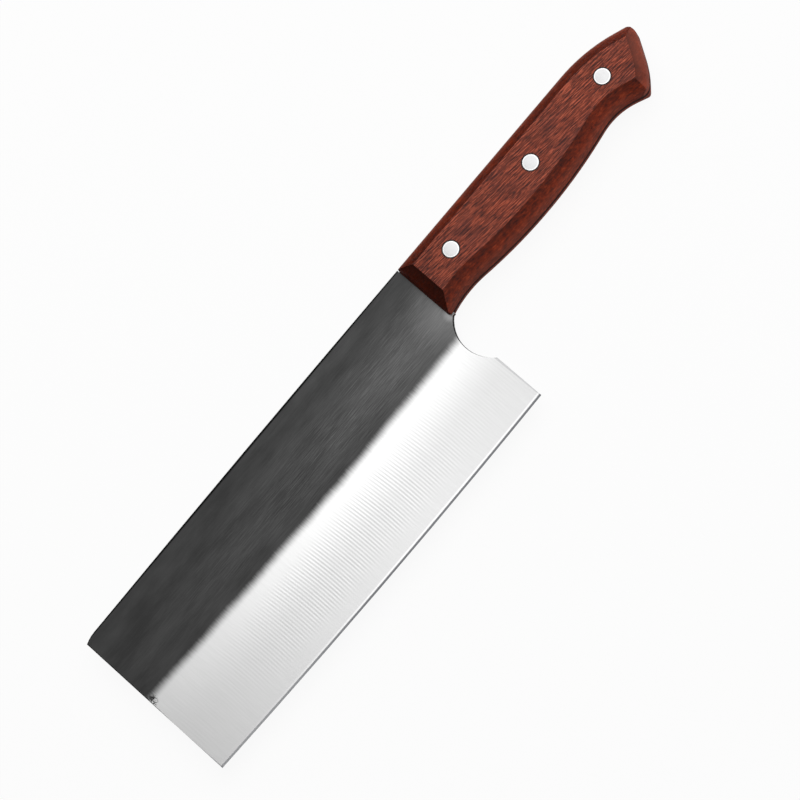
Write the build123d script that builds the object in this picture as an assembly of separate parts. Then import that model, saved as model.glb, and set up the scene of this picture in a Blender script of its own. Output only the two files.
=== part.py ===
from build123d import *
from math import radians, tan
import os

# A wide full-tang kitchen cleaver that lies on its side.
# All lengths are in millimetres. While it is drawn, X runs from the tip to the butt with its zero at
# the front of the handle, Y runs towards the spine with its zero at the blade's spine, and Z points
# up with its zero at the middle of the steel. The last step moves every piece so that the origin is
# the bottom centre of the whole knife.

# Blade outline
blade_length = 180.5        # foremost point of the tip to the front of the handle
tip_height = 71.2           # spine line down to the edge at the tip
heel_height = 73.2          # spine line down to the edge at the heel
edge_bow = 1.2              # how far the edge bows out between tip and heel
spine_crown = 0.35          # how far the spine bows up between nose and handle
nose_length = 5.2           # the spine's last stretch, which droops towards the tip
nose_drop = 1.0
tip_rake = 1.8              # how far the edge leads the spine at the tip
heel_setback = 2.2          # edge corner of the heel to the front of the handle
heel_rake = 0.5             # how far the heel's upper corner lies nearer the handle than its lower one
heel_rise = 22.0            # straight back edge of the heel
choil_depth = 4.4           # how far the finger notch cuts in ahead of the heel's upper corner
choil_share = 0.47          # how far up the notch its deepest point lies
neck_start = 0.4            # front of the handle to the end of the notch
neck_overhang = 1.2         # front of the handle to the end of the blade's lower step
neck_step = 0.4             # steel that shows below the wood at the notch

# Steel section
steel_thickness = 2.0
edge_break = 0.3            # chamfer along the spine, tip, heel and notch
grind_drop_tip = 33.0       # spine line down to where the ground bevel starts
grind_drop_heel = 35.3
grind_bow = 1.3             # bow of that line towards the edge
past_line_share = 1.2       # how far the grinding cutter runs past the edge and the grind line
shoulder_thickness = 0.5    # steel behind the sharpened bevel
sharpened_height = 0.8
edge_thickness = 0.06

# Handle outline. Its flowing curves are drawn on corner points: each has its place as shares of the
# handle's length and depth, and a third share of its shorter side that its curve takes up.
handle_length = 124.2
handle_depth = 28.1
handle_step = 0.6           # blade's spine line down to the wood
neck_shares = (0, 0)
spine_bend_shares = (0.855, 0.022, 0.6)
butt_top_shares = (1.015, 0.307)
butt_middle_shares = (0.934, 0.865, 0.5)
butt_toe_shares = (0.879, 1.087)
finger_hook_shares = (0.778, 0.867, 0.6)
palm_swell_shares = (0.421, 1.108, 0.77)
finger_dip_shares = (0.083, 0.867, 0.82)
front_foot_shares = (-0.006, 0.957)

# Handle section
scale_thickness = 7.5
land_height = 3.3           # upright band of a scale next to the steel
land_run = 0.45             # how far that band leans in
facet_run = 4.7             # how far the facets lean in
shoulder_radius = 2.0       # roll between that band and a facet
arris_radius = 0.4          # roll between a facet and the flat
roll_steps = 3
butt_lean_share = 0.76      # how far the butt's band and facet lean in, as a share of the others
butt_corner_radius = 4.6
toe_radius = 5.0
front_corner_radius = 1.2

# Rivets
rivet_run_shares = (0.1455, 0.4932, 0.8252)     # places along the handle
rivet_depth_shares = (0.452, 0.524, 0.518)      # places across the handle
rivet_names = ("neck_rivet", "middle_rivet", "butt_rivet")
head_diameter = 6.4
head_thickness = 1.8
head_break = 0.15           # chamfer round the face of a head
head_gap = 0.15             # head to the wood round it
tube_diameter = 4.0
tube_gap = 0.1              # tube to the scales and the tang
tube_end_gap = 0.3          # end of the tube to the far head
shank_diameter = 2.4
shank_gap = 0.03            # shank to the bore of the tube
shank_end_gap = 1.0         # end of the shank to the bottom of that bore
lead_in = 0.3               # chamfers that guide the shank into the tube

overrun = 20.0              # how far a cutter or block runs past the piece that it shapes

# Sizes worked out from those above
half_steel = steel_thickness / 2
half_handle = half_steel + scale_thickness
shoulder_level = half_steel + land_height
head_level = half_handle - head_thickness
head_radius = head_diameter / 2
tube_radius = tube_diameter / 2
shank_radius = shank_diameter / 2
tip_x = -blade_length
spine_tip_x = tip_x + tip_rake
heel_x = -heel_setback
heel_top_x = heel_x + heel_rake
heel_top_y = heel_rise - heel_height


def handle_point(shares):
    """Corner point of the handle's outline, from its shares of the length and the depth."""
    return Vector(handle_length * shares[0], -handle_step - handle_depth * shares[1])


def flowing_corner(before, corner, after, share):
    """Corner with the radius whose curve takes up a share of its shorter side."""
    shorter = min((corner - before).length, (after - corner).length)
    turn = (corner - before).get_angle(after - corner)
    return corner, shorter * share / tan(radians(turn / 2))


def beyond(start, end, reach):
    """Point past the end of a line."""
    return end + (end - start).normalized() * reach


neck = handle_point(neck_shares)
spine_bend = handle_point(spine_bend_shares)
butt_top = handle_point(butt_top_shares)
butt_middle = handle_point(butt_middle_shares)
butt_toe = handle_point(butt_toe_shares)
finger_hook = handle_point(finger_hook_shares)
palm_swell = handle_point(palm_swell_shares)
finger_dip = handle_point(finger_dip_shares)
front_foot = handle_point(front_foot_shares)
neck_y = front_foot.Y - neck_step

# Curved sides of the outline, anticlockwise: their inner corners with the radii
belly_curves = [
    flowing_corner(front_foot, finger_dip, palm_swell, finger_dip_shares[2]),
    flowing_corner(finger_dip, palm_swell, finger_hook, palm_swell_shares[2]),
    flowing_corner(palm_swell, finger_hook, butt_toe, finger_hook_shares[2]),
]
butt_curve = flowing_corner(butt_toe, butt_middle, butt_top, butt_middle_shares[2])
spine_curve = flowing_corner(butt_top, spine_bend, neck, spine_bend_shares[2])
rivet_centres = [handle_point(shares) for shares in zip(rivet_run_shares, rivet_depth_shares)]


def corner_face(corners, inset=0, level=0):
    """Face on rounded corners, moved inwards by the inset and up to the level.

    A corner with a radius of zero stays sharp. The inset keeps every side parallel and every curve
    concentric.
    """
    points = []
    radii = []
    for index, (corner, radius) in enumerate(corners):
        arriving = (corner - corners[index - 1][0]).normalized()
        leaving = (corners[(index + 1) % len(corners)][0] - corner).normalized()
        inwards = arriving.rotate(Axis.Z, 90) + leaving.rotate(Axis.Z, 90)
        points.append(corner + inwards * (inset / (1 + arriving.dot(leaving))))
        is_hollow = arriving.cross(leaving).Z < 0
        radii.append(radius and radius + (inset if is_hollow else -inset))
    return Pos(Z=level) * make_face(FilletPolyline(*points, radius=radii, close=True))


def handle_plate(thickness):
    """Plate of the handle's outline, with the roundings of its upright corners."""
    corners = [
        (front_foot, front_corner_radius),
        *belly_curves,
        (butt_toe, toe_radius),
        butt_curve,
        (butt_top, butt_corner_radius),
        spine_curve,
        (neck, front_corner_radius),
    ]
    return extrude(corner_face(corners), thickness)


def section_steps():
    """Inset and level of each step up the side of a scale: band, roll, facet and arris."""
    section = FilletPolyline(
        (0, half_steel),
        (land_run, shoulder_level),
        (land_run + facet_run, half_handle),
        (land_run + facet_run * 2, half_handle),
        radius=[shoulder_radius, arris_radius],
    )
    rolls = section.edges().filter_by(GeomType.CIRCLE)
    steps = [roll @ (step / roll_steps) for roll in rolls for step in range(roll_steps + 1)]
    return sorted([section @ 0, *steps], key=lambda point: point.Y)


def faceted_block(side, *far_points, lean_share=1):
    """Block that has the section of a scale along one side of the handle and runs on past the rest."""
    corners = side + [(Vector(*point), 0) for point in far_points]
    faces = [corner_face(corners, step.X * lean_share, step.Y) for step in section_steps()]
    return loft(faces, ruled=True)


def long_side(first, curves, last):
    """Side of the outline that runs on past both of its ends."""
    start = beyond(curves[0][0], first, overrun)
    end = beyond(curves[-1][0], last, overrun)
    return [(start, 0), *curves, (end, 0)]


def scale_blank():
    """Upper scale without its holes: four faceted blocks, one to a side, that meet in mitres."""
    front_x = -overrun
    rear_x = handle_length + overrun * 2
    high_y = overrun
    low_y = -handle_depth - overrun * 2
    front = [(beyond(front_foot, neck, overrun), 0), (beyond(neck, front_foot, overrun), 0)]
    belly = long_side(front_foot, belly_curves, butt_toe)
    butt = long_side(butt_toe, [butt_curve], butt_top)
    spine = long_side(butt_top, [spine_curve], neck)
    blocks = [
        faceted_block(front, (rear_x, low_y), (rear_x, high_y)),
        faceted_block(belly, (rear_x, high_y), (front_x, high_y)),
        faceted_block(butt, (front_x, high_y), (front_x, low_y), lean_share=butt_lean_share),
        faceted_block(spine, (front_x, low_y), (rear_x, low_y)),
    ]
    return blocks[0] & blocks[1] & blocks[2] & blocks[3]


def rivet_holes(diameter, bottom, top):
    """Round cutters at the three rivets, from one level up to another."""
    cutter = Pos(Z=bottom) * extrude(Circle(diameter / 2), top - bottom)
    return Part() + [Pos(centre) * cutter for centre in rivet_centres]


def left_scale():
    """Upper half of the wood, drilled and counterbored for the rivets."""
    wood = scale_blank() & Pos(Z=half_steel) * handle_plate(scale_thickness)
    wood -= rivet_holes(tube_diameter + tube_gap * 2, 0, half_handle)
    wood -= rivet_holes(head_diameter + head_gap * 2, head_level, half_handle + overrun)
    return wood


def bowed_line(tip_drop, heel_drop, bow, reach=0):
    """Arc from the heel to the tip, run on past both of them by the reach."""
    run = heel_x - tip_x

    def point(share):
        drop = heel_drop + (tip_drop - heel_drop) * share + bow * 4 * share * (1 - share)
        return (heel_x - run * share, -drop)

    past = reach / run
    return ThreePointArc(point(-past), point(0.5), point(1 + past))


def blade_face():
    """Side view of the blade, with the step of steel that runs on under the handle."""
    nose_start = (spine_tip_x + nose_length, 0)
    nose_end = (spine_tip_x, -nose_drop)
    heel_top = (heel_top_x, heel_top_y)
    notch_end = (neck_start, neck_y)
    notch_deepest = (heel_top_x - choil_depth, heel_top_y + (neck_y - heel_top_y) * choil_share)
    cutting_edge = bowed_line(tip_height, heel_height, edge_bow)
    return make_face(
        [
            ThreePointArc((0, 0), (nose_start[0] / 2, spine_crown), nose_start),
            TangentArc(nose_start, nose_end, tangent=(-1, 0)),
            Line(nose_end, cutting_edge @ 1),
            cutting_edge,
            Line(cutting_edge @ 0, heel_top),
            ThreePointArc(heel_top, notch_deepest, notch_end),
            Polyline(
                notch_end,
                (neck_overhang, neck_y),
                (neck_overhang, -handle_step * 2),
                (0, -handle_step * 2),
                (0, 0),
            ),
        ]
    )


def face_below(level, tip_drop, heel_drop, bow):
    """Face at a level that covers everything on the edge side of a bowed line."""
    line = bowed_line(tip_drop, heel_drop, bow, overrun)
    start = line @ 0
    end = line @ 1
    low = -heel_height - overrun
    return Pos(Z=level) * make_face([line, Polyline(end, (end.X, low), (start.X, low), start)])


def cutter_face(start, end, share):
    """Face below a line on the way between two lines, or past them for a share above one."""
    return face_below(*[first + (last - first) * share for first, last in zip(start, end)])


def grinding_cutter():
    """What grinding and sharpening take off the upper side of the blade."""
    thin_line = (
        shoulder_thickness / 2,
        tip_height - sharpened_height,
        heel_height - sharpened_height,
        edge_bow,
    )
    edge_line = (edge_thickness / 2, tip_height, heel_height, edge_bow)
    grind_line = (half_steel, grind_drop_tip, grind_drop_heel, grind_bow)
    faces = [
        cutter_face(thin_line, edge_line, past_line_share),
        face_below(*thin_line),
        cutter_face(thin_line, grind_line, past_line_share),
    ]
    return loft(faces, ruled=True)


def blade():
    """Blade and full tang, one piece of steel: rims broken, both sides ground and sharpened."""
    plate = extrude(blade_face(), half_steel, both=True)
    flat_rims = plate.edges().filter_by(Axis.Z, reverse=True)
    steel = chamfer([rim for rim in flat_rims if (rim @ 0.5).X < 0], edge_break)
    cutter = grinding_cutter()
    steel -= cutter
    steel -= mirror(cutter, about=Plane.XY)
    steel += Pos(Z=-half_steel) * handle_plate(steel_thickness)
    return steel - rivet_holes(tube_diameter + tube_gap * 2, -half_handle, half_handle)


def turned(profile):
    """Solid of revolution from the radius and level of each point of its profile."""
    return revolve(Plane.XZ * make_face(Polyline(*profile, close=True)), Axis.Z)


def rivet_socket():
    """Rivet half with a head and a tube, seated from above."""
    bore_radius = shank_radius + shank_gap
    tube_end = tube_end_gap - head_level
    return turned(
        [
            (0, half_handle),
            (head_radius - head_break, half_handle),
            (head_radius, half_handle - head_break),
            (head_radius, head_level),
            (tube_radius, head_level),
            (tube_radius, tube_end),
            (bore_radius + lead_in, tube_end),
            (bore_radius, tube_end + lead_in),
            (bore_radius, head_level),
            (0, head_level),
        ]
    )


def rivet_stud():
    """Rivet half with a head and a solid shank, pressed into the tube from below."""
    shank_end = head_level - shank_end_gap
    return turned(
        [
            (0, -half_handle),
            (head_radius - head_break, -half_handle),
            (head_radius, head_break - half_handle),
            (head_radius, -head_level),
            (shank_radius, -head_level),
            (shank_radius, shank_end - lead_in),
            (shank_radius - lead_in, shank_end),
            (0, shank_end),
        ]
    )


upper_wood = left_scale()
pieces = {
    "blade_with_tang": blade(),
    "left_scale": upper_wood,
    "right_scale": mirror(upper_wood, about=Plane.XY),
}
socket = rivet_socket()
stud = rivet_stud()
for name, centre in zip(rivet_names, rivet_centres):
    pieces[f"{name}_socket"] = Pos(centre) * socket
    pieces[f"{name}_stud"] = Pos(centre) * stud

whole_box = Compound(list(pieces.values())).bounding_box()
to_origin = Pos(-whole_box.center().X, -whole_box.center().Y, -whole_box.min.Z)
os.makedirs("parts", exist_ok=True)
for name, piece in pieces.items():
    export_step(to_origin * piece, f"parts/{name}.step")
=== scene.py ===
import logging
import math
from dataclasses import dataclass, field
from enum import Enum
from typing import Any

import bpy
from mathutils import Matrix, Vector


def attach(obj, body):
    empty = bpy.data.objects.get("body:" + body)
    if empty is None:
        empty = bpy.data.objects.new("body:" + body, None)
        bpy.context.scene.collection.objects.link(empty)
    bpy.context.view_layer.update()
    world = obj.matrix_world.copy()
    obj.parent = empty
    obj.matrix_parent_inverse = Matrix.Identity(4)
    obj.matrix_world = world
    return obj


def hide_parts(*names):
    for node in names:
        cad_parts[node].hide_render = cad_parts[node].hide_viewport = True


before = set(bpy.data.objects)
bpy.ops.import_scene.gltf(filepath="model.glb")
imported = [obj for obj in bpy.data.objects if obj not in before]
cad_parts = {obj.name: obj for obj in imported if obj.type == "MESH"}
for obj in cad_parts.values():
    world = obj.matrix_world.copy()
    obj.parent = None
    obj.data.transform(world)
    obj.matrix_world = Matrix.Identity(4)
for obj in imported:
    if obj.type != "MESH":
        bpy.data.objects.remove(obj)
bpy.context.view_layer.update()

# A wide kitchen cleaver with a full tang, two faceted wood scales and three rivets. It lies on its
# right side: X runs from the tip to the butt, Y from the edge to the spine, and Z up.

log = logging.getLogger("cleaver")
MM = 0.001
MIDDLE_Z = 8.5                          # middle of the steel above the floor, in millimetres
WHITE = (1.0, 1.0, 1.0, 1.0)
COLOURS = {"out": 2, "data_type": "RGBA"}               # makes a mixing node mix colours
EASED = {"interpolation_type": "SMOOTHSTEP"}            # makes a range start and end softly
Pair = tuple[float, float]
Triple = tuple[float, float, float]
Course = tuple[Any, float, float, float, float]         # what it follows, from, to, share at each


def linear(hex_colour: str) -> tuple[float, float, float, float]:
    """Turns an sRGB hex colour into linear light.

    Args:
        hex_colour: six hex digits, with or without a leading hash sign.

    Returns:
        Red, green, blue and an alpha of one.
    """
    digits = hex_colour.lstrip("#")
    shares = [int(digits[place:place + 2], 16) / 255 for place in (0, 2, 4)]
    light = [s / 12.92 if s <= 0.04045 else ((s + 0.055) / 1.055) ** 2.4 for s in shares]
    return light[0], light[1], light[2], 1.0


class Kind(str, Enum):
    """Types of node that the finishes, the lathe and the room use."""

    AS_CURVE = "GeometryNodePointsToCurves"
    BACKGROUND = "ShaderNodeBackground"
    BUMP = "ShaderNodeBump"
    COMBINE = "ShaderNodeCombineXYZ"
    COORDINATES = "ShaderNodeTexCoord"
    COUNT = "GeometryNodeAttributeDomainSize"
    DIFFUSE = "ShaderNodeBsdfDiffuse"
    EDGE_ANGLE = "GeometryNodeInputMeshEdgeAngle"
    EMISSION = "ShaderNodeEmission"
    FILLET = "GeometryNodeFilletCurve"
    FLIP = "GeometryNodeFlipFaces"
    GEOMETRY = "ShaderNodeNewGeometry"
    GRID = "GeometryNodeMeshGrid"
    GROUP_INPUT = "NodeGroupInput"
    GROUP_OUTPUT = "NodeGroupOutput"
    INDEX = "GeometryNodeInputIndex"
    INSTANCES = "GeometryNodeInstanceOnPoints"
    MAPPING = "ShaderNodeMapping"
    MATH = "ShaderNodeMath"
    MERGE = "GeometryNodeMergeByDistance"
    MIX = "ShaderNodeMix"
    MIX_SHADERS = "ShaderNodeMixShader"
    NOISE = "ShaderNodeTexNoise"
    OUTPUT = "ShaderNodeOutputMaterial"
    PICK = "GeometryNodeIndexSwitch"
    POINTS = "GeometryNodePoints"
    POSITION = "GeometryNodeInputPosition"
    PRINCIPLED = "ShaderNodeBsdfPrincipled"
    RANGE = "ShaderNodeMapRange"
    RAYS = "ShaderNodeLightPath"
    REALIZE = "GeometryNodeRealizeInstances"
    SAMPLE = "GeometryNodeSampleIndex"
    SET_MATERIAL = "GeometryNodeSetMaterial"
    SET_POSITION = "GeometryNodeSetPosition"
    SHADE_SMOOTH = "GeometryNodeSetShadeSmooth"
    SPLIT = "ShaderNodeSeparateXYZ"
    VECTOR = "ShaderNodeVectorMath"
    WORLD_OUTPUT = "ShaderNodeOutputWorld"


@dataclass
class Graph:
    """Node tree that is being filled, a shader's or a Geometry Nodes group's."""

    tree: bpy.types.NodeTree

    def add(
        self, kind: Kind, feeds: dict[Any, Any] | None = None, out: Any = 0, **settings: Any,
    ) -> Any:
        """Adds one node with its settings and links.

        Args:
            kind: the node's type.
            feeds: for each input, by name or place, a value or the output that is linked to it.
            out: name or place of the output to hand back.
            **settings: the node's own properties.

        Returns:
            The chosen output socket, or the node itself if it has none.
        """
        node = self.tree.nodes.new(kind.value)
        for name, value in settings.items():
            setattr(node, name, value)
        for name, value in (feeds or {}).items():
            socket = node.inputs[name]
            if isinstance(value, bpy.types.NodeSocket):
                self.tree.links.new(value, socket)
            else:
                socket.default_value = value
        return node.outputs[out] if len(node.outputs) else node


def millimetres(graph: Graph) -> Any:
    """Adds the place on the piece in millimetres.

    Args:
        graph: the material's graph.

    Returns:
        Output with the place.
    """
    place = graph.add(Kind.COORDINATES, out="Object")
    return graph.add(Kind.VECTOR, {0: place, "Scale": 1 / MM}, operation="SCALE")


def off_point(graph: Graph, grid: Any, point: Pair) -> Any:
    """Adds the distance in plan from a point.

    Args:
        graph: the material's graph.
        grid: output with the place in millimetres.
        point: the point, in millimetres in the knife's frame.

    Returns:
        Output with the distance in millimetres.
    """
    flat = graph.add(Kind.VECTOR, {0: grid, 1: (1.0, 1.0, 0.0)}, operation="MULTIPLY")
    return graph.add(Kind.VECTOR, {0: flat, 1: (*point, 0.0)}, out="Value", operation="DISTANCE")


def fade(graph: Graph, strength: Any, *courses: Course, **settings: Any) -> Any:
    """Multiplies a strength by shares that change from place to place.

    Args:
        graph: the material's graph.
        strength: output or value that is multiplied.
        *courses: for each share the output that it follows, where its change starts and ends, and
            what it is at the start and at the end.
        **settings: settings of the ranges that make the shares.

    Returns:
        Output with the product.
    """
    for follows, start, end, at_start, at_end in courses:
        share = graph.add(Kind.RANGE, {
            0: follows, 1: start, 2: end, 3: at_start, 4: at_end,
        }, **settings)
        strength = graph.add(Kind.MATH, {0: strength, 1: share}, operation="MULTIPLY")
    return strength


def cloudy(graph: Graph, place: Any, grain: Triple, detail: float, roughness: float = 0.5) -> Any:
    """Adds a cloudy pattern that is squeezed along each axis.

    Args:
        graph: the material's graph.
        place: output with the place in millimetres.
        grain: clouds for each millimetre along, across and up.
        detail: number of finer layers in it.
        roughness: strength of each finer layer, as a share of the one before.

    Returns:
        Output with the pattern, from zero to one.
    """
    squeezed = graph.add(Kind.VECTOR, {0: place, 1: grain}, operation="MULTIPLY")
    return graph.add(Kind.NOISE, {
        "Vector": squeezed, "Scale": 1.0, "Detail": detail, "Roughness": roughness,
    })


@dataclass(frozen=True)
class BowedLine:
    """Line that runs along the blade from the heel to the tip, in millimetres below the spine."""

    tip_drop: float
    heel_drop: float
    bow: float


@dataclass(frozen=True)
class BladeOutline:
    """Sizes of the blade's outline that its finish follows, in millimetres in the knife's frame."""

    tip_x: float = -152.146
    heel_x: float = 26.154
    handle_x: float = 28.354
    spine_y: float = 36.63
    edge: BowedLine = BowedLine(71.2, 73.2, 1.2)

    def rise_above(self, graph: Graph, line: BowedLine, along: Any, across: Any) -> Any:
        """Adds the nodes that measure how far a point lies above a bowed line.

        Args:
            graph: the tree that gets the nodes.
            line: the line to measure from.
            along: output with the place along the blade.
            across: output with the place across the blade.

        Returns:
            Output with the distance in millimetres, positive towards the spine.
        """
        share = graph.add(Kind.RANGE, {0: along, 1: self.heel_x, 2: self.tip_x})
        square = graph.add(Kind.MATH, {0: share, 1: share}, operation="MULTIPLY")
        belly = graph.add(Kind.MATH, {0: share, 1: square}, operation="SUBTRACT")
        slope = graph.add(Kind.MATH, {
            0: share, 1: line.tip_drop - line.heel_drop, 2: line.heel_drop - self.spine_y,
        }, operation="MULTIPLY_ADD")
        drop = graph.add(Kind.MATH, {0: belly, 1: 4 * line.bow, 2: slope}, operation="MULTIPLY_ADD")
        return graph.add(Kind.MATH, {0: across, 1: drop}, operation="ADD")


def new_material(name: str) -> tuple[bpy.types.Material, Graph]:
    """Makes an empty node material.

    Args:
        name: the material's name.

    Returns:
        The material and its graph.
    """
    material = bpy.data.materials.new(name)
    material.use_nodes = True
    material.node_tree.nodes.clear()
    return material, Graph(material.node_tree)


@dataclass(frozen=True)
class BlackenedAndGroundSteel:
    """Carbon steel of the blade.

    The sheet keeps the dark skin of its heat treatment, brushed lengthwise to a soft grey black.
    The lower part is ground bright on a wheel that runs across the blade. It leaves fine scratches,
    faint regular ripples and a feathered border where it breaks through the skin. The brushing and
    the scratches are drawn coarser than real ones so that they show.
    """

    outline: BladeOutline = BladeOutline()
    border: BowedLine = BowedLine(33.15, 35.45, 1.65)
    border_half_width: float = 2.4      # millimetres
    border_wander: float = 1.2
    feather: float = 1.5
    feather_grain: Triple = (2.2, 0.12, 0.5)    # for each millimetre along, across and up
    cloud_grain: Triple = (0.035, 0.11, 0.1)
    brushing_grain: Triple = (0.10, 3.8, 3.8)
    scratch_grain: Triple = (3.0, 0.08, 1.0)
    scratch_shades: Pair = (0.96, 1.03)
    skin_deep: str = "#2d2d2d"
    skin: str = "#393939"
    skin_worn: str = "#545454"
    # painted sheen on the skin towards the handle and round the notch's upper corner
    skin_sheen: str = "#858585"
    streak_share: float = 0.9           # most of the worn skin in a streak of the brushing
    handle_sheen: float = 0.09            # share of painted sheen in front of the handle
    handle_sheen_start: float = -60.0     # millimetres in the knife's frame
    # painted highlight: the ground steel is brightest next to the border and fades towards the tip
    bright: str = "#c3c3c3"
    bright_low: str = "#afafaf"
    tip_shade: float = 0.96             # painted shade: shares of brightness that the ends of the blade keep
    heel_shade: float = 0.88
    rim_dark_reflection: str = "#0b0b0b"
    rim_grey_reflection: str = "#58595c"
    spine_line: Pair = (0.8, 0.4)       # painted reflection: millimetres in from the rim where its dark line starts
    tip_line: Pair = (0.6, 0.2)         # and where it is full
    heel_line: Pair = (0.5, 0.2)
    tip_line_share: float = 0.6
    heel_line_share: float = 0.3
    honed_highlight: str = "#c4c4c4"              # strip that the sharpening stone left along the edge, with a painted highlight
    honed_width: float = 1.5            # millimetres
    honed_at_tip: float = 0.1           # share of the strip that is left there
    edge_grey: str = "#717275"               # darker grey line along the very edge
    edge_grey_at_tip: str = "#a4a5a7"
    edge_grey_width: float = 0.8
    pit: str = "#242424"                # forge scale that stayed in pits at the border's tip end
    pit_centre: Pair = (-150.6, 2.4)
    pit_reach: float = 3.0
    pit_grain: float = 1.5              # pits for each millimetre
    rim_tang: str = "#3a1b16"           # dark reddish edge of the tang, ground flush with the wood
    skin_roughness: float = 0.40
    bright_roughness: float = 0.32
    rim_tang_roughness: float = 0.85
    ripple_spacing: float = 1.24        # millimetres
    ripple_height: float = 0.004
    ripple_shade: float = -0.2          # painted shade: the crests are darker than the troughs
    ripple_patches: Triple = (0.5, 0.09, 0.5)
    ripple_arc: float = 0.003           # how far the wheel's arc bends a ripple
    ripple_middle: float = 17.0         # millimetres above the edge
    ripple_low: Pair = (4.0, 12.0)      # where the ripples start and are full
    ripple_high: Pair = (34.0, 26.0)
    sheen_corner: Pair = (28.5, 9.5)   # upper corner of the notch
    sheen_rings: tuple[Pair, ...] = ((19.0, 0.2), (4.0, 0.6))      # reach, share

    def build(self) -> bpy.types.Material:
        """Makes the material.

        Returns:
            The blade's material.
        """
        material, graph = new_material("blackened_and_ground_carbon_steel")
        grid = millimetres(graph)
        axes = graph.add(Kind.SPLIT, {0: grid}).node
        along, across = axes.outputs[0], axes.outputs[1]
        rise = self.outline.rise_above(graph, self.border, along, across)
        edge_rise = self.outline.rise_above(graph, self.outline.edge, along, across)
        skin = self.skin_colour(graph, grid, along, rise)
        ripples = self.ripples(graph, grid, along, edge_rise)
        ground = self.ground_colour(graph, grid, along, edge_rise, ripples)
        is_skin = self.skin_share(graph, grid, rise)
        colour = graph.add(Kind.MIX, {0: is_skin, 6: ground, 7: skin}, **COLOURS)
        # Painted reflection on the rims: near black on the skin, grey on the ground steel, with lines
        # of it along the spine, the tip and the heel
        rim = graph.add(Kind.MIX, {
            0: is_skin, 6: linear(self.rim_grey_reflection), 7: linear(self.rim_dark_reflection),
        }, **COLOURS)
        at_heel = fade(
            graph, self.heel_line_share, (rise, -3.0, -6.0, 0.0, 1.0),
            (along, *(self.outline.heel_x - inset for inset in self.heel_line), 0.0, 1.0),
        )
        colour = graph.add(Kind.MIX, {0: at_heel, 6: colour, 7: linear(self.rim_grey_reflection)}, **COLOURS)
        for place, start, full, share in (
            (across, *(self.outline.spine_y - inset for inset in self.spine_line), 1.0),
            (along, *(self.outline.tip_x + inset for inset in self.tip_line), self.tip_line_share),
        ):
            at_rim_reflection = graph.add(Kind.RANGE, {0: place, 1: start, 2: full, 4: share})
            colour = graph.add(Kind.MIX, {0: at_rim_reflection, 6: colour, 7: rim}, **COLOURS)
        is_tang = graph.add(Kind.RANGE, {
            0: along, 1: self.outline.handle_x - 0.2, 2: self.outline.handle_x + 0.2,
        })
        rim = graph.add(Kind.MIX, {0: is_tang, 6: rim, 7: linear(self.rim_tang)}, **COLOURS)
        upright = graph.add(Kind.SPLIT, {0: graph.add(Kind.GEOMETRY, out="Normal")}, out=2)
        tilt = graph.add(Kind.MATH, {0: upright}, operation="ABSOLUTE")
        is_rim = graph.add(Kind.RANGE, {0: tilt, 1: 0.9, 2: 0.8})
        colour = graph.add(Kind.MIX, {0: is_rim, 6: colour, 7: rim}, **COLOURS)
        roughness = graph.add(Kind.MIX, {0: is_skin, 2: self.bright_roughness, 3: self.skin_roughness})
        is_tang_rim = graph.add(Kind.MATH, {0: is_tang, 1: is_rim}, operation="MULTIPLY")
        roughness = graph.add(Kind.MIX, {0: is_tang_rim, 2: roughness, 3: self.rim_tang_roughness})
        no_skin = graph.add(Kind.MATH, {0: 1.0, 1: is_skin}, operation="SUBTRACT")
        height = graph.add(Kind.MATH, {0: ripples, 1: no_skin}, operation="MULTIPLY")
        bump = graph.add(Kind.BUMP, {
            "Height": height, "Strength": 1.0, "Distance": self.ripple_height * MM,
        })
        shader = graph.add(Kind.PRINCIPLED, {
            "Base Color": colour, "Metallic": 1.0, "Roughness": roughness, "Normal": bump,
        })
        graph.add(Kind.OUTPUT, {"Surface": shader})
        return material

    def skin_share(self, graph: Graph, grid: Any, rise: Any) -> Any:
        """Adds the border between skin and ground steel, blurred and feathered across the blade.

        Args:
            graph: the material's graph.
            grid: output with the place in millimetres.
            rise: output with the distance above the border.

        Returns:
            Output that is one on the skin and zero on the ground steel.
        """
        strokes = cloudy(graph, grid, self.feather_grain, 3.0, 0.7)
        wander = graph.add(Kind.NOISE, {"Vector": grid, "Scale": 0.06, "Detail": 2.0})
        feathered = graph.add(Kind.MATH, {
            0: strokes, 1: self.feather, 2: rise,
        }, operation="MULTIPLY_ADD")
        feathered = graph.add(Kind.MATH, {
            0: wander, 1: self.border_wander, 2: feathered,
        }, operation="MULTIPLY_ADD")
        middle = (self.feather + self.border_wander) / 2
        return graph.add(Kind.RANGE, {
            0: feathered, 1: middle - self.border_half_width, 2: middle + self.border_half_width,
        }, **EASED)

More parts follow.
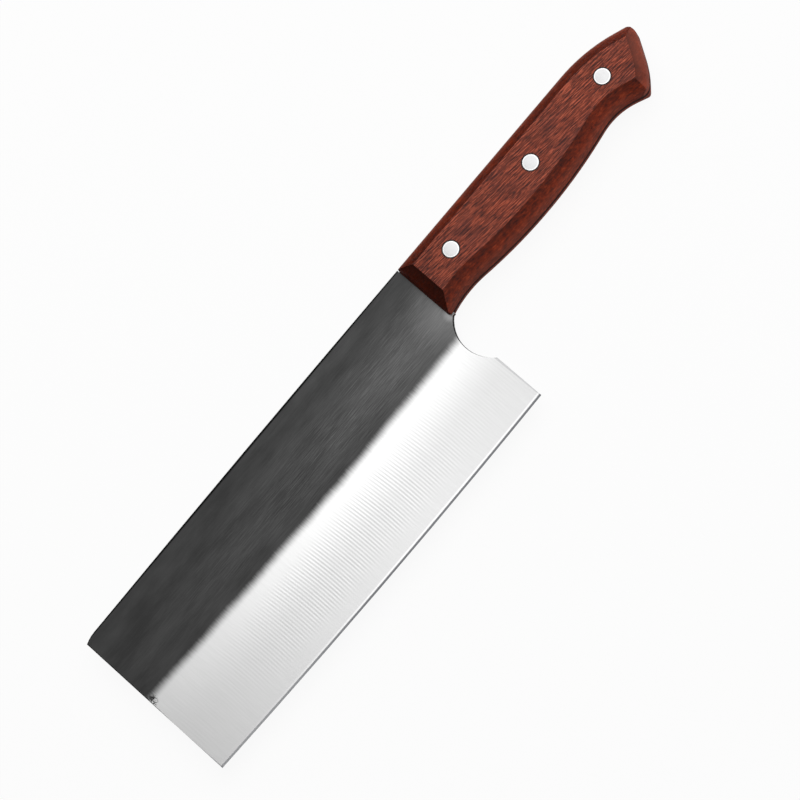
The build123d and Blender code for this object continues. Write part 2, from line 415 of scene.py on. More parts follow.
    def skin_colour(self, graph: Graph, grid: Any, along: Any, rise: Any) -> Any:
        """Adds the dark skin: clouds, fine lengthwise brushing and a painted sheen by the handle.

        Args:
            graph: the material's graph.
            grid: output with the place in millimetres.
            along: output with the place along the blade.
            rise: output with the distance above the border.

        Returns:
            Output with the skin's colour.
        """
        cloud = cloudy(graph, grid, self.cloud_grain, 4.0, 0.6)
        brushing = cloudy(graph, grid, self.brushing_grain, 4.0, 0.75)
        colour = graph.add(Kind.MIX, {
            0: graph.add(Kind.RANGE, {0: cloud, 1: 0.35, 2: 0.65}),
            6: linear(self.skin_deep), 7: linear(self.skin),
        }, **COLOURS)
        streaks = fade(
            graph, self.streak_share, (brushing, 0.44, 0.66, 0.0, 1.0),
            (along, -130.0, 0.0, 0.15, 1.0), (rise, 2.0, 9.0, 0.35, 1.0), (rise, 14.0, 29.0, 1.0, 0.15),
        )
        colour = graph.add(Kind.MIX, {0: streaks, 6: colour, 7: linear(self.skin_worn)}, **COLOURS)
        # Painted sheen: lighter skin towards the handle and round the upper corner of the notch
        painted_sheen = fade(
            graph, self.handle_sheen, (along, self.handle_sheen_start, self.outline.handle_x, 0.0, 1.0),
            (rise, 32.0, 12.0, 0.0, 1.0), **EASED,
        )
        off_corner = off_point(graph, grid, self.sheen_corner)
        for reach, share in self.sheen_rings:
            corner = graph.add(Kind.RANGE, {0: off_corner, 1: reach, 2: 0.5, 4: share}, **EASED)
            painted_sheen = graph.add(Kind.MATH, {0: painted_sheen, 1: corner}, operation="ADD")
        return graph.add(Kind.MIX, {0: painted_sheen, 6: colour, 7: linear(self.skin_sheen)}, **COLOURS)

    def ripples(self, graph: Graph, grid: Any, along: Any, edge_rise: Any) -> Any:
        """Adds the ripples that the wheel leaves across the middle of the ground part.

        Args:
            graph: the material's graph.
            grid: output with the place in millimetres.
            along: output with the place along the blade.
            edge_rise: output with the distance above the edge.

        Returns:
            Output with the ripples' height, from minus one to one.
        """
        off_middle = graph.add(Kind.MATH, {0: edge_rise, 1: self.ripple_middle}, operation="SUBTRACT")
        square = graph.add(Kind.MATH, {0: off_middle, 1: off_middle}, operation="MULTIPLY")
        phase = graph.add(Kind.MATH, {
            0: square, 1: self.ripple_arc, 2: along,
        }, operation="MULTIPLY_ADD")
        turns = graph.add(Kind.MATH, {
            0: phase, 1: 2 * math.pi / self.ripple_spacing,
        }, operation="MULTIPLY")
        wave = graph.add(Kind.MATH, {0: turns}, operation="SINE")
        patchy = cloudy(graph, grid, self.ripple_patches, 2.0)
        strength = graph.add(Kind.RANGE, {0: patchy, 1: 0.35, 2: 0.6, 3: 0.55, 4: 1.0})
        strength = fade(
            graph, strength, (edge_rise, *self.ripple_low, 0.0, 1.0),
            (edge_rise, *self.ripple_high, 0.0, 1.0),
            (along, self.outline.tip_x + 14.0, -75.0, 0.08, 1.0), (along, 24.0, -45.0, 0.12, 1.0),
            **EASED,
        )
        return graph.add(Kind.MATH, {0: wave, 1: strength}, operation="MULTIPLY")

    def ground_colour(
        self, graph: Graph, grid: Any, along: Any, edge_rise: Any, ripples: Any,
    ) -> Any:
        """Adds the ground steel with fine scratches across it, a painted highlight next to the border
        and painted shade at the ends and on the ripples' crests.

        Args:
            graph: the material's graph.
            grid: output with the place in millimetres.
            along: output with the place along the blade.
            edge_rise: output with the distance above the edge.
            ripples: output with the ripples' height.

        Returns:
            Output with the colour.
        """
        border_highlight = graph.add(Kind.RANGE, {0: edge_rise, 1: 16.0, 2: 36.0}, **EASED)
        colour = graph.add(Kind.MIX, {
            0: fade(graph, border_highlight, (along, self.outline.tip_x, -60.0, 0.25, 1.0)),
            6: linear(self.bright_low), 7: linear(self.bright),
        }, **COLOURS)
        off_tip = graph.add(Kind.RANGE, {0: along, 1: self.outline.tip_x + 15.0, 2: -70.0})
        edge_grey = graph.add(Kind.MIX, {
            0: off_tip, 6: linear(self.edge_grey_at_tip), 7: linear(self.edge_grey),
        }, **COLOURS)
        strips = (
            (self.honed_width, linear(self.honed_highlight), self.honed_at_tip), (self.edge_grey_width, edge_grey, 1.0),
        )
        for width, finish, share_at_tip in strips:
            near_edge = fade(
                graph, 1.0, (edge_rise, width + 0.2, width - 0.2, 0.0, 1.0),
                (off_tip, 0.0, 1.0, share_at_tip, 1.0),
            )
            colour = graph.add(Kind.MIX, {0: near_edge, 6: colour, 7: finish}, **COLOURS)
        scratches = cloudy(graph, grid, self.scratch_grain, 3.0, 0.7)
        dark, light = self.scratch_shades
        shade = graph.add(Kind.RANGE, {0: scratches, 1: 0.3, 2: 0.7, 3: dark, 4: light})
        shade = graph.add(Kind.MATH, {
            0: ripples, 1: self.ripple_shade, 2: shade,
        }, operation="MULTIPLY_ADD")
        shade = fade(
            graph, shade, (along, -90.0, self.outline.tip_x, 1.0, self.tip_shade),
            (along, -30.0, self.outline.heel_x, 1.0, self.heel_shade),
        )
        colour = graph.add(Kind.VECTOR, {0: colour, "Scale": shade}, operation="SCALE")
        pits = graph.add(Kind.NOISE, {"Vector": grid, "Scale": self.pit_grain, "Detail": 1.0})
        is_pit = fade(
            graph, 1.0, (pits, 0.47, 0.53, 0.0, 1.0),
            (off_point(graph, grid, self.pit_centre), self.pit_reach, self.pit_reach / 2, 0.0, 1.0),
        )
        return graph.add(Kind.MIX, {0: is_pit, 6: colour, 7: linear(self.pit)}, **COLOURS)


@dataclass(frozen=True)
class RivetPlan:
    """Places of the three rivets, in millimetres in the knife's frame."""

    names: tuple[str, ...] = ("neck_rivet", "middle_rivet", "butt_rivet")
    centres: tuple[Pair, ...] = ((46.43, 23.33), (89.61, 21.305), (130.845, 21.47))

    def nearest_axis(self, graph: Graph, grid: Any) -> Any:
        """Adds the distance from a point to the nearest rivet's axis.

        Args:
            graph: the tree that gets the nodes.
            grid: output with the place in millimetres.

        Returns:
            Output with the distance in millimetres.
        """
        nearest, *others = (off_point(graph, grid, centre) for centre in self.centres)
        for distance in others:
            nearest = graph.add(Kind.MATH, {0: nearest, 1: distance}, operation="MINIMUM")
        return nearest


@dataclass(frozen=True)
class OiledRosewood:
    """Rosewood of the handle, sawn along the grain, ground to its facets, oiled and rubbed.

    The eye sees a red brown ground, closely spaced salmon and dark lines and short pores along the
    handle. The facets cut the lines at a slant and are polished, so they look deeper and softly
    mottled. The cut ends of the fibres on the front and butt facets drink more oil and look darker.
    Painted shade makes the front facet darkest and darkens the spine facet too, and painted light
    makes the facets lighter by the steel and darker by the flat. A painted sheen lies on the outer
    roll and the butt facet.
    """

    plan: RivetPlan = RivetPlan()
    ground: str = "#85351e"
    fibre: str = "#c05c40"
    line: str = "#3f120d"
    patch: str = "#5c2a24"
    pore: str = "#1b0b0c"
    # painted sheen on the outer roll and the butt facet
    painted_sheen: str = "#8a5653"
    facet_tint: Triple = (0.97, 0.72, 0.48)
    facet_highlight_by_steel: float = 1.3            # painted light: facets are lighter by the steel and darker by the flat
    facet_shade_by_flat: float = 0.62
    spine_facet_shade: float = 0.62           # painted shade by the way the facets face, and darker end grain on the front and butt
    front_facet_shade_and_end_grain: float = 0.31
    butt_facet_shade_and_end_grain: float = 0.92
    front_darkening: float = 0.8                # share of brightness that the front end keeps
    darker_from: float = 27.65          # millimetres in the knife's frame
    darker_to: float = 56.0
    flat_roughness: float = 0.42
    facet_roughness: float = 0.24
    band_roughness: float = 0.68        # upright band next to the steel, left as the belt cut it
    line_spacing: float = 1.25          # millimetres
    line_waver: float = 1.8
    waver_strand: Pair = (16.0, 4.0)    # length and width of its strands
    strength_strand: Pair = (6.0, 1.6)
    line_lean: float = 0.6              # slope of the growth layers through the thickness
    fibre_length: float = 7.0
    fibre_width: float = 0.25
    pore_length: float = 2.6
    pore_width: float = 0.19
    figure_size: Triple = (3.0, 10.0, 6.0)      # millimetres along, across and up
    figure_shades: Pair = (0.82, 1.16)
    figure_turn: float = -35.0          # degrees
    patch_size: float = 5.0
    mottle_size: Triple = (2.4, 1.2, 1.2)
    grain_slope: float = 7.0            # degrees from the handle's length
    grain_dip: float = 2.0              # degrees through the thickness
    pore_depth: float = 0.02
    band_height: float = 4.3            # middle of the steel to the top of the upright band
    sheen_height: float = 2.0
    roll_sheen: float = 0.8               # shares of painted sheen
    butt_sheen: float = 0.45
    belly_sheen: float = 0.4              # what the side away from the spine has of the roll's share
    flat_height: float = 8.5            # middle of the steel to the flat
    counterbore: float = 3.35
    gap_shade_width: float = 0.45

    def build(self) -> bpy.types.Material:
        """Makes the material.

        Returns:
            The scales' material.
        """
        material, graph = new_material("oiled_rosewood")
        grid = millimetres(graph)
        facing = graph.add(Kind.SPLIT, {0: graph.add(Kind.GEOMETRY, out="Normal")}).node.outputs
        level = graph.add(Kind.MATH, {0: facing[2]}, operation="ABSOLUTE")
        on_facet = graph.add(Kind.RANGE, {0: level, 1: 0.97, 2: 0.85})
        grain = graph.add(Kind.MAPPING, {
            "Vector": grid,
            "Rotation": (0.0, math.radians(self.grain_dip), math.radians(self.grain_slope)),
        })
        stripe = self.stripe(graph, grain, facing, on_facet)
        pores = self.strands(graph, grain, self.pore_length, self.pore_width)
        patches = self.strands(graph, grain, self.patch_size * 3, self.patch_size)
        pore_share = graph.add(Kind.RANGE, {
            0: pores, 1: 0.54, 2: 0.62, 4: graph.add(Kind.RANGE, {0: on_facet, 3: 0.85, 4: 0.5}),
        }, **EASED)
        layers = (
            (graph.add(Kind.RANGE, {0: stripe, 1: 0.0, 2: 1.1, 4: 0.9}), self.fibre),
            (graph.add(Kind.RANGE, {0: stripe, 1: -0.1, 2: -1.1, 4: 0.9}), self.line),
            (graph.add(Kind.RANGE, {0: patches, 1: 0.5, 2: 0.75, 4: 0.5}), self.patch),
            (pore_share, self.pore),
            (self.sheen_share(graph, grid, facing), self.painted_sheen),
            # painted shade in the gap round each rivet, in the pores' colour
            (self.gap_shade_share(graph, grid), self.pore),
        )
        colour = linear(self.ground)
        for share, layer in layers:
            colour = graph.add(Kind.MIX, {0: share, 6: colour, 7: linear(layer)}, **COLOURS)
        tint = graph.add(Kind.MIX, {0: on_facet, 6: WHITE, 7: (*self.facet_tint, 1.0)}, **COLOURS)
        colour = graph.add(Kind.VECTOR, {0: colour, 1: tint}, operation="MULTIPLY")
        slant = graph.add(Kind.MAPPING, {
            "Vector": grid, "Rotation": (0.0, 0.0, math.radians(self.figure_turn)),
        })
        figure = cloudy(graph, slant, tuple(1 / size for size in self.figure_size), 2.0)
        facet_light = graph.add(Kind.RANGE, {
            0: self.off_steel(graph, grid), 1: self.band_height, 2: self.flat_height,
            3: self.facet_highlight_by_steel, 4: self.facet_shade_by_flat,
        })
        # Painted light and shade by the way the surface faces and across the facets; the end facets are
        # also darker as end grain
        shade = fade(
            graph, graph.add(Kind.MIX, {0: on_facet, 2: 1.0, 3: facet_light}),
            (figure, 0.3, 0.7, *self.figure_shades), (facing[1], 0.25, 0.5, 1.0, self.spine_facet_shade),
            (facing[0], -0.35, -0.65, 1.0, self.front_facet_shade_and_end_grain),
            (facing[0], 0.35, 0.65, 1.0, self.butt_facet_shade_and_end_grain),
            (graph.add(Kind.SPLIT, {0: grid}), self.darker_from, self.darker_to, self.front_darkening, 1.0),
        )
        colour = graph.add(Kind.VECTOR, {0: colour, "Scale": shade}, operation="SCALE")
        roughness = graph.add(Kind.MIX, {0: on_facet, 2: self.flat_roughness, 3: self.facet_roughness})
        on_band = graph.add(Kind.RANGE, {0: level, 1: 0.6, 2: 0.3})
        roughness = graph.add(Kind.MIX, {0: on_band, 2: roughness, 3: self.band_roughness})
        bump = graph.add(Kind.BUMP, {
            "Height": pore_share, "Strength": 0.5, "Distance": self.pore_depth * MM,
        }, invert=True)
        shader = graph.add(Kind.PRINCIPLED, {
            "Base Color": colour, "Roughness": roughness, "Specular IOR Level": 0.15, "Normal": bump,
        })
        graph.add(Kind.OUTPUT, {"Surface": shader})
        return material

    def stripe(self, graph: Graph, grain: Any, facing: Any, on_facet: Any) -> Any:
        """Adds the wavering lines of the growth layers, mottled where a facet cuts them.

        Args:
            graph: the material's graph.
            grain: output with the place in millimetres, turned to the grain.
            facing: the three outputs with the direction that the surface faces.
            on_facet: output that is one on the facets.

        Returns:
            Output with the pattern, about -1.5 in a dark line to 1.5 in a pale fibre.
        """
        axes = graph.add(Kind.SPLIT, {0: grain}).node.outputs
        across = graph.add(Kind.MATH, {
            0: axes[2], 1: self.line_lean, 2: axes[1],
        }, operation="MULTIPLY_ADD")
        waver = self.strands(graph, grain, *self.waver_strand)
        across = graph.add(Kind.MATH, {
            0: waver, 1: self.line_waver, 2: across,
        }, operation="MULTIPLY_ADD")
        turns = graph.add(Kind.MATH, {
            0: across, 1: 2 * math.pi / self.line_spacing,
        }, operation="MULTIPLY")
        lines = fade(
            graph, graph.add(Kind.MATH, {0: turns}, operation="SINE"),
            (self.strands(graph, grain, *self.strength_strand), 0.35, 0.65, 0.0, 0.7),
            (on_facet, 0.0, 1.0, 1.0, 0.35),
        )
        fibres = self.strands(graph, grain, self.fibre_length, self.fibre_width)
        fibres = graph.add(Kind.RANGE, {0: fibres, 1: 0.35, 2: 0.65, 3: -1.5, 4: 1.5})
        mottle = cloudy(graph, grain, tuple(1 / size for size in self.mottle_size), 3.0, 0.55)
        mottle = graph.add(Kind.RANGE, {0: mottle, 1: 0.3, 2: 0.7, 3: -1.1, 4: 0.6})
        mottle = fade(
            graph, mottle, (facing[0], -0.35, -0.6, 1.0, 0.4), (facing[0], 0.35, 0.6, 1.0, 0.4),
            (facing[1], 0.3, 0.5, 1.0, 0.7),
        )
        fine = graph.add(Kind.MIX, {0: on_facet, 2: fibres, 3: mottle})
        return graph.add(Kind.MATH, {0: lines, 1: fine}, operation="ADD")

    def sheen_share(self, graph: Graph, grid: Any, facing: Any) -> Any:
        """Adds the painted sheen on the outer roll and the butt facet.

        Args:
            graph: the material's graph.
            grid: output with the place in millimetres.
            facing: the three outputs with the direction that the surface faces.

        Returns:
            Output that is zero away from the roll and the butt facet.
        """
        painted_sheen = graph.add(Kind.RANGE, {
            0: self.off_steel(graph, grid), 1: self.band_height + self.sheen_height,
            2: self.band_height, 4: self.roll_sheen,
        }, **EASED)
        painted_sheen = fade(
            graph, painted_sheen, (facing[0], -0.4, -0.2, 0.0, 1.0),
            (facing[1], -0.2, 0.2, self.belly_sheen, 1.0),
        )
        at_butt = graph.add(Kind.RANGE, {0: facing[0], 1: 0.35, 2: 0.6, 4: self.butt_sheen})
        return graph.add(Kind.MATH, {0: painted_sheen, 1: at_butt}, operation="MAXIMUM")

    def off_steel(self, graph: Graph, grid: Any) -> Any:
        """Adds the distance from the middle of the steel through the handle's thickness.

        Args:
            graph: the material's graph.
            grid: output with the place in millimetres.

        Returns:
            Output with the distance in millimetres.
        """
        height = graph.add(Kind.SPLIT, {0: grid}, out=2)
        height = graph.add(Kind.MATH, {0: height, 1: MIDDLE_Z}, operation="SUBTRACT")
        return graph.add(Kind.MATH, {0: height}, operation="ABSOLUTE")

    def gap_shade_share(self, graph: Graph, grid: Any) -> Any:
        """Adds the painted shade in the gap round each rivet, a dark ring at the counterbore.

        Args:
            graph: the material's graph.
            grid: output with the place in millimetres.

        Returns:
            Output that is one at a counterbore and zero away from it.
        """
        return graph.add(Kind.RANGE, {
            0: self.plan.nearest_axis(graph, grid), 1: self.counterbore + self.gap_shade_width,
            2: self.counterbore,
        })

    def strands(self, graph: Graph, grain: Any, length: float, width: float) -> Any:
        """Adds a pattern of strands along the grain.

        Args:
            graph: the material's graph.
            grain: output with the place in millimetres, turned to the grain.
            length: length of a strand in millimetres.
            width: width of a strand in millimetres.

        Returns:
            Output with the pattern, from zero to one.
        """
        return cloudy(graph, grain, (1 / length, 1 / width, 1 / width), 2.0, 0.55)


@dataclass(frozen=True)
class SatinRivetAluminium:
    """Aluminium of the rivets, ground flush with the wood, which leaves a pale satin face.

    The rim is a little brighter than the middle, a painted highlight.
    """

    plan: RivetPlan = RivetPlan()
    colour: str = "#b1b1b1"
    shade: str = "#a9a9aa"
    # painted highlight round the rim of the head
    rim: str = "#cbcbcb"
    rim_highlight_start: float = 2.55             # millimetres from the axis
    rim_highlight_full: float = 2.95
    roughness: float = 0.38

    def build(self) -> bpy.types.Material:
        """Makes the material.

        Returns:
            The rivets' material.
        """
        material, graph = new_material("satin_rivet_aluminium")
        grid = millimetres(graph)
        cloud = graph.add(Kind.NOISE, {"Vector": grid, "Scale": 0.5, "Detail": 3.0})
        colour = graph.add(Kind.MIX, {
            0: cloud, 6: linear(self.colour), 7: linear(self.shade),
        }, **COLOURS)
        at_rim_reflection = graph.add(Kind.RANGE, {
            0: self.plan.nearest_axis(graph, grid), 1: self.rim_highlight_start, 2: self.rim_highlight_full,
        }, **EASED)
        colour = graph.add(Kind.MIX, {0: at_rim_reflection, 6: colour, 7: linear(self.rim)}, **COLOURS)
        shader = graph.add(Kind.PRINCIPLED, {
            "Base Color": colour, "Metallic": 1.0, "Roughness": self.roughness,
        })
        graph.add(Kind.OUTPUT, {"Surface": shader})
        return material


@dataclass(frozen=True)
class RivetHalf:
    """Half of a rivet as it comes off the lathe, in millimetres above the middle of the steel."""

    stem_radius: float
    stem_end: float
    bore_radius: float
    bore_end: float
    is_upper: bool


@dataclass
class TurnedRivets:
    """The three rivets: a head with a tube above, a head with a solid shank below."""

    metal: SatinRivetAluminium = SatinRivetAluminium()
    plan: RivetPlan = RivetPlan()
    head_radius: float = 3.2
    face_level: float = 8.5
    head_level: float = 6.7
    rim_radius: float = 0.22
    segments: int = 72
    sharp_angle: float = 30.0           # degrees
    halves: dict[str, RivetHalf] = field(default_factory=lambda: {
        "socket": RivetHalf(2.0, -6.4, 1.23, 6.7, True),
        "stud": RivetHalf(1.2, -5.7, 0.0, -5.7, False),
    })

    def build(self) -> None:
        """Turns the six halves and lets each stand for its piece of the frame."""
        material = self.metal.build()
        tree = self.lathe()
        for name, centre in zip(self.plan.names, self.plan.centres):
            for kind, half in self.halves.items():
                sizes = {
                    "Head Radius": self.head_radius * MM, "Face Level": self.face_level * MM,
                    "Head Level": self.head_level * MM, "Rim Radius": self.rim_radius * MM,
                    "Stem Radius": half.stem_radius * MM, "Stem End": half.stem_end * MM,
                    "Bore Radius": half.bore_radius * MM, "Bore End": half.bore_end * MM,
                    "Centre": (centre[0] * MM, centre[1] * MM, MIDDLE_Z * MM),
                    "Turn": (0.0 if half.is_upper else math.pi, 0.0, 0.0),
                    "Segments": self.segments, "Finish": material,
                }
                node = f"{name}_{kind}"
                piece = made_by(tree, f"turned_{node}", sizes)
                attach(piece, "root")
                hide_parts(node)
                log.info("%s: %d faces", piece.name, len(piece.data.polygons))

    def lathe(self) -> bpy.types.NodeTree:
        """Makes the Geometry Nodes tree that turns a half from its profile.

        Returns:
            The tree, with named inputs for the half's sizes.
        """
        tree = bpy.data.node_groups.new("rivet_lathe", "GeometryNodeTree")
        graph = Graph(tree)
        lengths = (
            "Head Radius", "Face Level", "Head Level", "Rim Radius",
            "Stem Radius", "Stem End", "Bore Radius", "Bore End",
        )
        for name in lengths:
            tree.interface.new_socket(name, in_out="INPUT", socket_type="NodeSocketFloat")
        for name, kind in (("Centre", "Vector"), ("Turn", "Rotation"), ("Segments", "Int"),
                           ("Finish", "Material")):
            tree.interface.new_socket(name, in_out="INPUT", socket_type=f"NodeSocket{kind}")
        tree.interface.new_socket("Geometry", in_out="OUTPUT", socket_type="NodeSocketGeometry")
        size = graph.add(Kind.GROUP_INPUT).node.outputs
        profile = self.profile(graph, size)

        # Every point of the profile goes round in one column of a grid's rows
        count = graph.add(Kind.COUNT, {"Geometry": profile}, out="Point Count", component="CURVE")
        columns = graph.add(Kind.MATH, {0: size["Segments"], 1: 1.0}, operation="ADD")
        sheet = graph.add(Kind.GRID, {"Vertices X": columns, "Vertices Y": count})
        index = graph.add(Kind.INDEX)
        row = graph.add(Kind.MATH, {0: index, 1: count}, operation="MODULO")
        column = graph.add(Kind.MATH, {0: index, 1: count}, operation="DIVIDE")
        column = graph.add(Kind.MATH, {0: column}, operation="FLOOR")
        turn = graph.add(Kind.MATH, {0: column, 1: size["Segments"]}, operation="DIVIDE")
        turn = graph.add(Kind.MATH, {0: turn, 1: 2 * math.pi}, operation="MULTIPLY")
        place = graph.add(Kind.SAMPLE, {
            "Geometry": profile, "Value": graph.add(Kind.POSITION), "Index": row,
        }, data_type="FLOAT_VECTOR", domain="POINT")
        radius = graph.add(Kind.SPLIT, {0: place}).node
        axes = [
            graph.add(Kind.MATH, {
                0: radius.outputs[0], 1: graph.add(Kind.MATH, {0: turn}, operation=wave),
            }, operation="MULTIPLY")
            for wave in ("COSINE", "SINE")
        ]
        turned = graph.add(Kind.SET_POSITION, {
            "Geometry": sheet,
            "Position": graph.add(Kind.COMBINE, {0: axes[0], 1: axes[1], 2: radius.outputs[2]}),
        })
        closed = graph.add(Kind.MERGE, {"Geometry": turned, "Distance": 0.0001 * MM})
        outward = graph.add(Kind.FLIP, {"Mesh": closed})
        angle = graph.add(Kind.EDGE_ANGLE, out="Unsigned Angle")
        is_soft = graph.add(Kind.MATH, {
            0: angle, 1: math.radians(self.sharp_angle),
        }, operation="LESS_THAN")
        smooth = graph.add(Kind.SHADE_SMOOTH, {
            "Geometry": outward, "Shade Smooth": True,
        }, domain="FACE")
        smooth = graph.add(Kind.SHADE_SMOOTH, {
            "Geometry": smooth, "Shade Smooth": is_soft,
        }, domain="EDGE")
        spot = graph.add(Kind.POINTS, {"Position": size["Centre"]})
        placed = graph.add(Kind.INSTANCES, {
            "Points": spot, "Instance": smooth, "Rotation": size["Turn"],
        })
        solid = graph.add(Kind.REALIZE, {"Geometry": placed})
        dressed = graph.add(Kind.SET_MATERIAL, {"Geometry": solid, "Material": size["Finish"]})
        graph.add(Kind.GROUP_OUTPUT, {"Geometry": dressed})
        return tree

    def profile(self, graph: Graph, size: Any) -> Any:
        """Adds the profile of a half from its face down to the end of its bore, its rim rounded.

        Args:
            graph: the lathe's graph.
            size: the outputs with the half's sizes.

        Returns:
            Output with the profile as a curve.
        """
        corners = (
            (None, "Face Level"), ("Head Radius", "Face Level"), ("Head Radius", "Head Level"),
            ("Stem Radius", "Head Level"), ("Stem Radius", "Stem End"), ("Bore Radius", "Stem End"),
            ("Bore Radius", "Bore End"), (None, "Bore End"),
        )
        pick = graph.add(Kind.PICK, data_type="VECTOR").node
        index = graph.add(Kind.INDEX)
        graph.tree.links.new(index, pick.inputs["Index"])
        while len(pick.index_switch_items) < len(corners):
            pick.index_switch_items.new()
        for place, (across, level) in enumerate(corners):
            feeds = {2: size[level]} if across is None else {0: size[across], 2: size[level]}
            graph.tree.links.new(graph.add(Kind.COMBINE, feeds), pick.inputs[place + 1])
        points = graph.add(Kind.POINTS, {"Count": len(corners), "Position": pick.outputs[0]})
        line = graph.add(Kind.AS_CURVE, {"Points": points})
        is_rim = graph.add(Kind.MATH, {0: index, 1: 1.0, 2: 0.1}, operation="COMPARE")
        rounding = graph.add(Kind.MATH, {0: is_rim, 1: size["Rim Radius"]}, operation="MULTIPLY")
        return graph.add(Kind.FILLET, {"Curve": line, "Radius": rounding, "Count": 5}, mode="POLY")


def made_by(tree: bpy.types.NodeTree, name: str, sizes: dict[str, Any]) -> bpy.types.Object:
    """Makes a plain mesh piece with a Geometry Nodes tree.

    Args:
        tree: the tree.
        name: the piece's name.
        sizes: value for each of the tree's named inputs.

    Returns:
        The piece, without its modifier.
    """
    piece = bpy.data.objects.new(name, bpy.data.meshes.new(name))
    bpy.context.scene.collection.objects.link(piece)
    maker = piece.modifiers.new("maker", "NODES")
    maker.node_group = tree
    for item in tree.interface.items_tree:
        if item.item_type == "SOCKET" and item.in_out == "INPUT":
            maker[item.identifier] = sizes[item.name]
    graph = bpy.context.evaluated_depsgraph_get()
    mesh = bpy.data.meshes.new_from_object(piece.evaluated_get(graph), depsgraph=graph)
    mesh.name = name
    finish = next(value for value in sizes.values() if isinstance(value, bpy.types.Material))
    mesh.materials.clear()
    mesh.materials.append(finish)
    mesh.polygons.foreach_set("material_index", [0] * len(mesh.polygons))
    piece.modifiers.remove(maker)
    piece.data = mesh
    return piece


def dress(node: str, material: bpy.types.Material) -> None:
    """Gives a piece of the frame its finish.

    Args:
        node: the piece's name.
        material: the finish.
    """
    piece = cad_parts[node]
    for slot in piece.material_slots:
        slot.material = material
    if not piece.material_slots:
        piece.data.materials.append(material)
    log.info("%s: %s", node, material.name)


@dataclass
class Blade:
    """Blade with its full tang, one piece of steel."""

    finish: BlackenedAndGroundSteel = BlackenedAndGroundSteel()

    def build(self) -> None:
        """Dresses the blade."""
        dress("blade_with_tang", self.finish.build())


@dataclass
class Handle:
    """Two wood scales and the three two-piece rivets that hold them."""

    wood: OiledRosewood = OiledRosewood()
    rivets: TurnedRivets = field(default_factory=TurnedRivets)
    scales: tuple[str, ...] = ("left_scale", "right_scale")

    def build(self) -> None:
        """Dresses the scales and makes the rivets."""
        wood = self.wood.build()
        for scale in self.scales:
            dress(scale, wood)
        self.rivets.build()


@dataclass
class Softbox:
    """One soft studio lamp."""

    name: str
    place: Triple
    aim: Triple
    size: Pair
    power: float
    colour: str = "#ffffff"

    def build(self) -> None:
        """Hangs the lamp and turns it towards its aim."""
        light = bpy.data.lights.new(self.name, "AREA")
        light.shape = "RECTANGLE"
        light.size, light.size_y = self.size
        light.energy = self.power
        light.color = linear(self.colour)[:3]
        lamp = bpy.data.objects.new(self.name, light)
        lamp.location = self.place
        away = Vector(self.place) - Vector(self.aim)
        lamp.rotation_euler = away.to_track_quat("Z", "Y").to_euler()
        bpy.context.scene.collection.objects.link(lamp)
        log.info("lamp %s", self.name)


@dataclass
class Flag:
    """Dark card that the camera doesn't see. It shades the knife, is mirrored in it, or both."""

    name: str
    corners: tuple[Triple, ...]
    shades: bool = True
    is_mirrored: bool = True
    colour: str = "#2a2a2a"

    def build(self) -> None:
        """Hangs the card."""
        mesh = bpy.data.meshes.new(self.name)
        mesh.from_pydata(self.corners, [], [(0, 1, 2, 3)])
        card = bpy.data.objects.new(self.name, mesh)
        bpy.context.scene.collection.objects.link(card)
        material, graph = new_material("dark_felt")
        graph.add(Kind.OUTPUT, {"Surface": graph.add(Kind.DIFFUSE, {"Color": linear(self.colour)})})
        mesh.materials.append(material)
        card.visible_camera = False
        card.visible_diffuse = self.shades
        card.visible_shadow = self.shades
        card.visible_glossy = self.is_mirrored
        log.info("card %s", self.name)


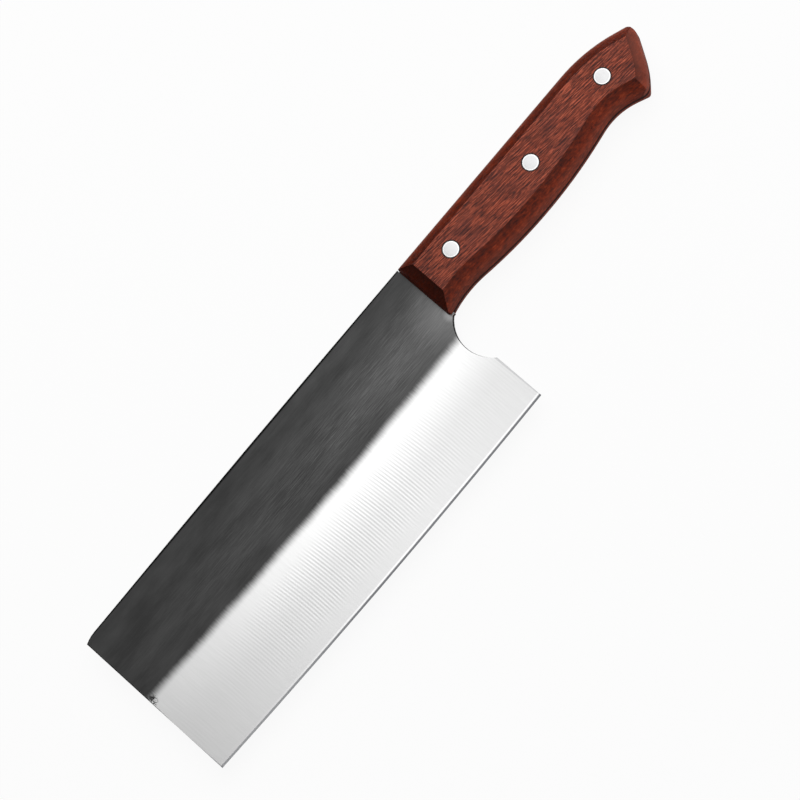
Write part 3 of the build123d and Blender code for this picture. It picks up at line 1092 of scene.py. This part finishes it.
@dataclass
class Studio:
    """White room, floor, lamps, cards and the camera that sees the knife from above its edge."""

    floor_size: float = 8.0
    floor_colour: str = "#f2f2f2"
    room_light: float = 0.9
    floor_glow: float = 0.93
    floor_mirrored: float = 0.4
    tilt_to_edge: float = 18.3      # degrees off the vertical
    tilt_to_tip: float = 2.05
    turn: float = 50.04             # degrees from the picture's right to the knife's length
    distance: float = 1.8
    lens: float = 221.01
    target: Triple = (-0.007864, 0.003763, 0.0085)
    lamps: list[Softbox] = field(default_factory=lambda: [
        Softbox("key_softbox", (0.85, 0.55, 1.50), (0.85, 0.55, 0.0), (2.3, 1.7), 18.4),
    ])
    cards: list[Flag] = field(default_factory=lambda: [
        Flag("tip_card", (
            (-0.25, -1.5, 1.51), (-0.25, 2.0, 1.51), (-1.4, 2.0, 0.0), (-1.4, -1.5, 0.0),
        ), is_mirrored=False),
        Flag("tip_card_top", (
            (-0.25, -1.5, 1.51), (-0.25, 2.0, 1.51), (-0.75, 2.0, 0.853), (-0.75, -1.5, 0.853),
        ), shades=False),
        Flag("tip_card_foot", (
            (-1.13, -0.3, 0.355), (-1.13, 1.1, 0.355), (-1.4, 1.1, 0.0), (-1.4, -0.3, 0.0),
        ), shades=False),
        Flag("edge_card", (
            (-1.4, -0.5, 1.3), (1.5, -0.5, 1.3), (1.5, -1.3, 0.1), (-1.4, -1.3, 0.1),
        ), is_mirrored=False),
        Flag("spine_card", (
            (-0.2, 0.062, 0.001), (0.3, 0.062, 0.001), (0.3, 0.5, 0.001), (-0.2, 0.5, 0.001),
        ), shades=False),
    ])

    def build(self) -> None:
        """Sets up the room, the floor, the lamps, the cards and the camera."""
        self.build_room()
        self.build_floor()
        for part in [*self.lamps, *self.cards]:
            part.build()
        self.build_camera()

    def seen(self, graph: Graph, straight: float, mirrored: float) -> Any:
        """Adds the share of white that a ray sees.

        Args:
            graph: the graph that gets the nodes.
            straight: the share for the camera's own rays.
            mirrored: the share for rays that are mirrored or pass through glass.

        Returns:
            Output with the share, zero for the rays that only light the scene.
        """
        rays = graph.add(Kind.RAYS).node.outputs
        indirect = graph.add(Kind.MATH, {
            0: rays["Is Glossy Ray"], 1: rays["Is Transmission Ray"],
        }, operation="MAXIMUM")
        indirect = graph.add(Kind.MATH, {0: indirect, 1: mirrored}, operation="MULTIPLY")
        return graph.add(Kind.MATH, {
            0: rays["Is Camera Ray"], 1: straight, 2: indirect,
        }, operation="MULTIPLY_ADD")

    def build_room(self) -> None:
        """Gives the room its light, and a plain white for what is seen or mirrored."""
        world = bpy.data.worlds.new("white_room")
        bpy.context.scene.world = world
        world.use_nodes = True
        world.node_tree.nodes.clear()
        graph = Graph(world.node_tree)
        strength = graph.add(Kind.MIX, {0: self.seen(graph, 1.0, 1.0), 2: self.room_light, 3: 1.0})
        glow = graph.add(Kind.BACKGROUND, {"Color": WHITE, "Strength": strength})
        graph.add(Kind.WORLD_OUTPUT, {"Surface": glow})

    def build_floor(self) -> None:
        """Lays the pale floor."""
        reach = self.floor_size / 2
        mesh = bpy.data.meshes.new("floor")
        corners = [(-reach, -reach, 0), (reach, -reach, 0), (reach, reach, 0), (-reach, reach, 0)]
        mesh.from_pydata(corners, [], [(0, 1, 2, 3)])
        floor = bpy.data.objects.new("floor", mesh)
        bpy.context.scene.collection.objects.link(floor)
        material, graph = new_material("white_paper_sweep")
        matte = graph.add(Kind.DIFFUSE, {"Color": linear(self.floor_colour)})
        glow = graph.add(Kind.EMISSION, {"Color": WHITE, "Strength": 1.0})
        share = self.seen(graph, self.floor_glow, self.floor_mirrored)
        paper = graph.add(Kind.MIX_SHADERS, {0: share, 1: matte, 2: glow})
        graph.add(Kind.OUTPUT, {"Surface": paper})
        mesh.materials.append(material)

    def build_camera(self) -> None:
        """Places the camera at the photograph's viewing angle."""
        back = Vector((
            -math.tan(math.radians(self.tilt_to_tip)),
            -math.tan(math.radians(self.tilt_to_edge)),
            1.0,
        )).normalized()
        length = Vector((1.0, 0.0, 0.0))
        length = (length - back * length.dot(back)).normalized()
        width = back.cross(length)
        turn = math.radians(self.turn)
        right = length * math.cos(turn) - width * math.sin(turn)
        up = length * math.sin(turn) + width * math.cos(turn)
        lens = bpy.data.cameras.new("camera")
        lens.lens = self.lens
        lens.sensor_width = 36.0
        lens.dof.use_dof = False
        camera = bpy.data.objects.new("camera", lens)
        turned = Matrix((right, up, back)).transposed().to_4x4()
        place = Vector(self.target) + back * self.distance
        camera.matrix_world = Matrix.Translation(place) @ turned
        bpy.context.scene.collection.objects.link(camera)
        bpy.context.scene.camera = camera


def main() -> None:
    """Builds the knife's finishes and the studio."""
    logging.basicConfig(level=logging.INFO, format="%(name)s: %(message)s")
    bpy.context.scene.view_settings.view_transform = "Standard"
    Blade().build()
    Handle().build()
    Studio().build()


if __name__ == "__main__":
    main()
